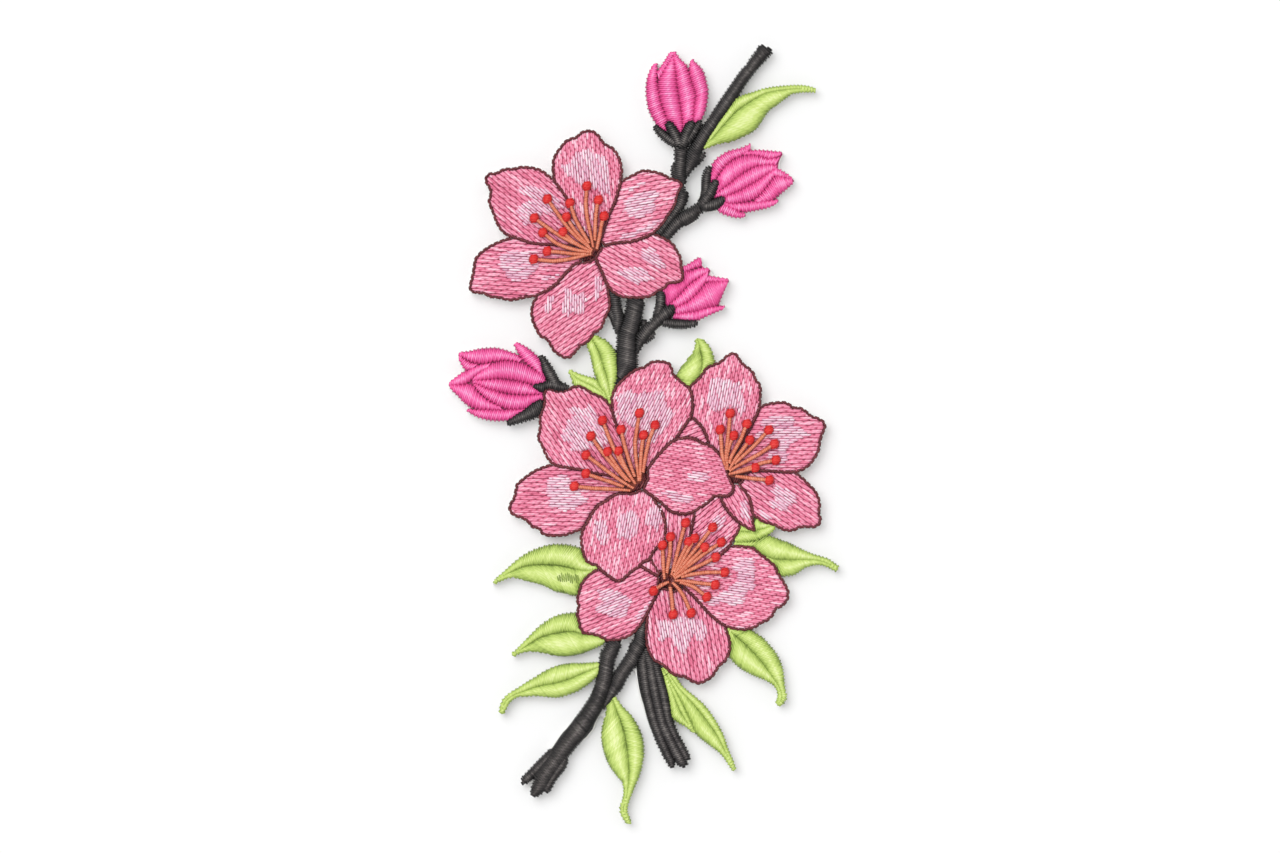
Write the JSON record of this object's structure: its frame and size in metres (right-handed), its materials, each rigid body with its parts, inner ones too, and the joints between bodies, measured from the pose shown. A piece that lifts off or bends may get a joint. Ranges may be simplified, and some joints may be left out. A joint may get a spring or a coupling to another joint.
{
  "type": "embroidered cherry blossom sprig applique",
  "caption": "Flat embroidered applique of a cherry blossom sprig: raised thread petals, buds, leaves and dark twigs on a thin backing cut flush to the motif.",
  "frame": {"origin": "centre of the bounding box's underside, on the flat back of the backing", "axes": "+Z out of the stitched face, +Y along the sprig's length towards the twig tip, +X to the right seen from the front"},
  "size_m": [0.0782, 0.1556, 0.0033],
  "materials": {
    "backing": "matt off-white cut-away backing felt",
    "petal_thread": "pink and pale pink fill stitching with a maroon outline",
    "throat_thread": "maroon satin stitching",
    "stamen_thread": "copper satin filaments with red anthers",
    "leaf_thread": "yellow-green satin stitching",
    "bud_thread": "hot pink satin stitching",
    "dark_thread": "near-black satin stitching"
  },
  "bodies": {
    "root": {"backing": "backing", "branch_bundle": "dark_thread", "branch_leg": "dark_thread", "branch_main": "dark_thread", "branch_middle": "dark_thread", "branch_right": "dark_thread", "branch_stalk": "dark_thread", "branch_twig": "dark_thread", "branch_upper": "dark_thread", "bud_left": "bud_thread", "bud_mid": "bud_thread", "bud_right": "bud_thread", "bud_top": "bud_thread", "calyx_left": "dark_thread", "calyx_mid": "dark_thread", "calyx_right": "dark_thread", "calyx_top": "dark_thread", "leaf_01": "leaf_thread", "leaf_02": "leaf_thread", "leaf_03": "leaf_thread", "leaf_04": "leaf_thread", "leaf_05": "leaf_thread", "leaf_06": "leaf_thread", "leaf_07": "leaf_thread", "leaf_08": "leaf_thread", "leaf_09": "leaf_thread", "leaf_10": "leaf_thread", "leaf_11": "leaf_thread", "leaf_12": "leaf_thread", "leaf_13": "leaf_thread", "petal_a_bottom": "petal_thread", "petal_a_left": "petal_thread", "petal_a_right": "petal_thread", "petal_a_top": "petal_thread", "petal_a_upper_left": "petal_thread", "petal_a_upper_right": "petal_thread", "petal_b_bottom": "petal_thread", "petal_b_left": "petal_thread", "petal_b_right": "petal_thread", "petal_b_top": "petal_thread", "petal_b_upper_left": "petal_thread", "petal_c_left": "petal_thread", "petal_c_lower_right": "petal_thread", "petal_c_right": "petal_thread", "petal_c_small": "petal_thread", "petal_c_top": "petal_thread", "petal_d_bottom": "petal_thread", "petal_d_lower_left": "petal_thread", "petal_d_right": "petal_thread", "petal_d_upper_left": "petal_thread", "petal_d_upper_right": "petal_thread", "sepal_left": "dark_thread", "stamens_a": "stamen_thread", "stamens_b": "stamen_thread", "stamens_c": "stamen_thread", "stamens_d": "stamen_thread", "throat_a": "throat_thread", "throat_b": "throat_thread", "throat_c": "throat_thread", "throat_d": "throat_thread"}
  },
  "joints": []
}
